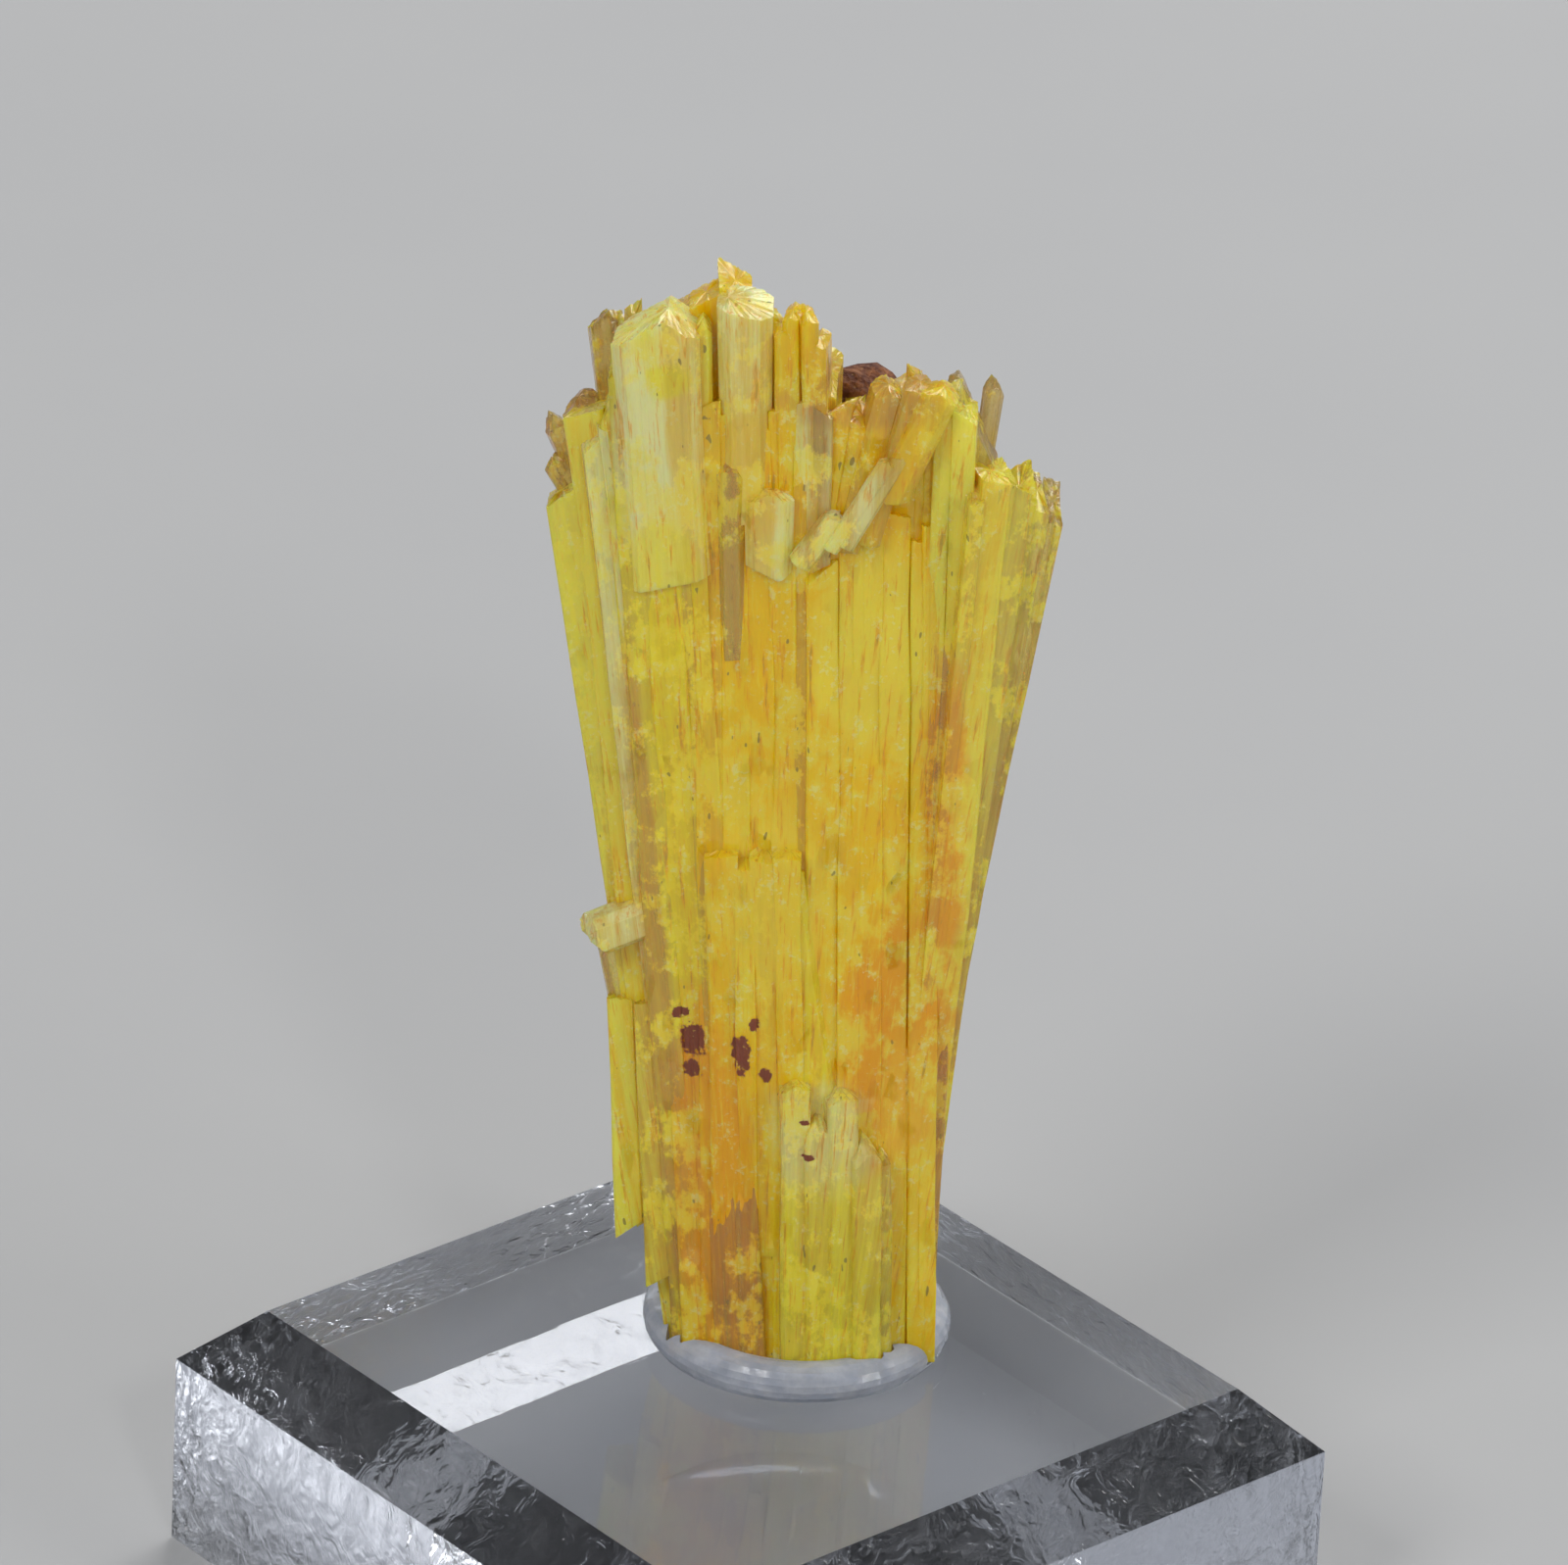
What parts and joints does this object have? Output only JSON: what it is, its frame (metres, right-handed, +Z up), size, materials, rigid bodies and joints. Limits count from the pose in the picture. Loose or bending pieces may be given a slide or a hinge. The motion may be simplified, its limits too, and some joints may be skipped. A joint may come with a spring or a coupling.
{
  "type": "legrandite crystal cluster",
  "caption": "Upright fan of grown-together prismatic legrandite crystals, held in a ring of mounting wax on a small square bevelled acrylic display block.",
  "frame": {"origin": "centre of the acrylic block's underside", "axes": "+Z up along the crystals, X and Y along the block's sides; the front of the fan faces the corner of the block at +X, -Y turned a little to -X"},
  "size_m": [0.019, 0.019, 0.0344],
  "materials": {
    "legrandite": "translucent yellow crystal, fine lengthwise striations, vitreous",
    "limonite": "rough earthy red-brown",
    "mounting_wax": "glossy translucent grey-white wax",
    "clear_acrylic": "clear, polished top, sawn and rippled bevels and sides"
  },
  "bodies": {
    "root": {"legrandite_crystals": "legrandite", "limonite_crust": "limonite", "mounting_wax": "mounting_wax", "acrylic_base": "clear_acrylic"}
  },
  "joints": []
}
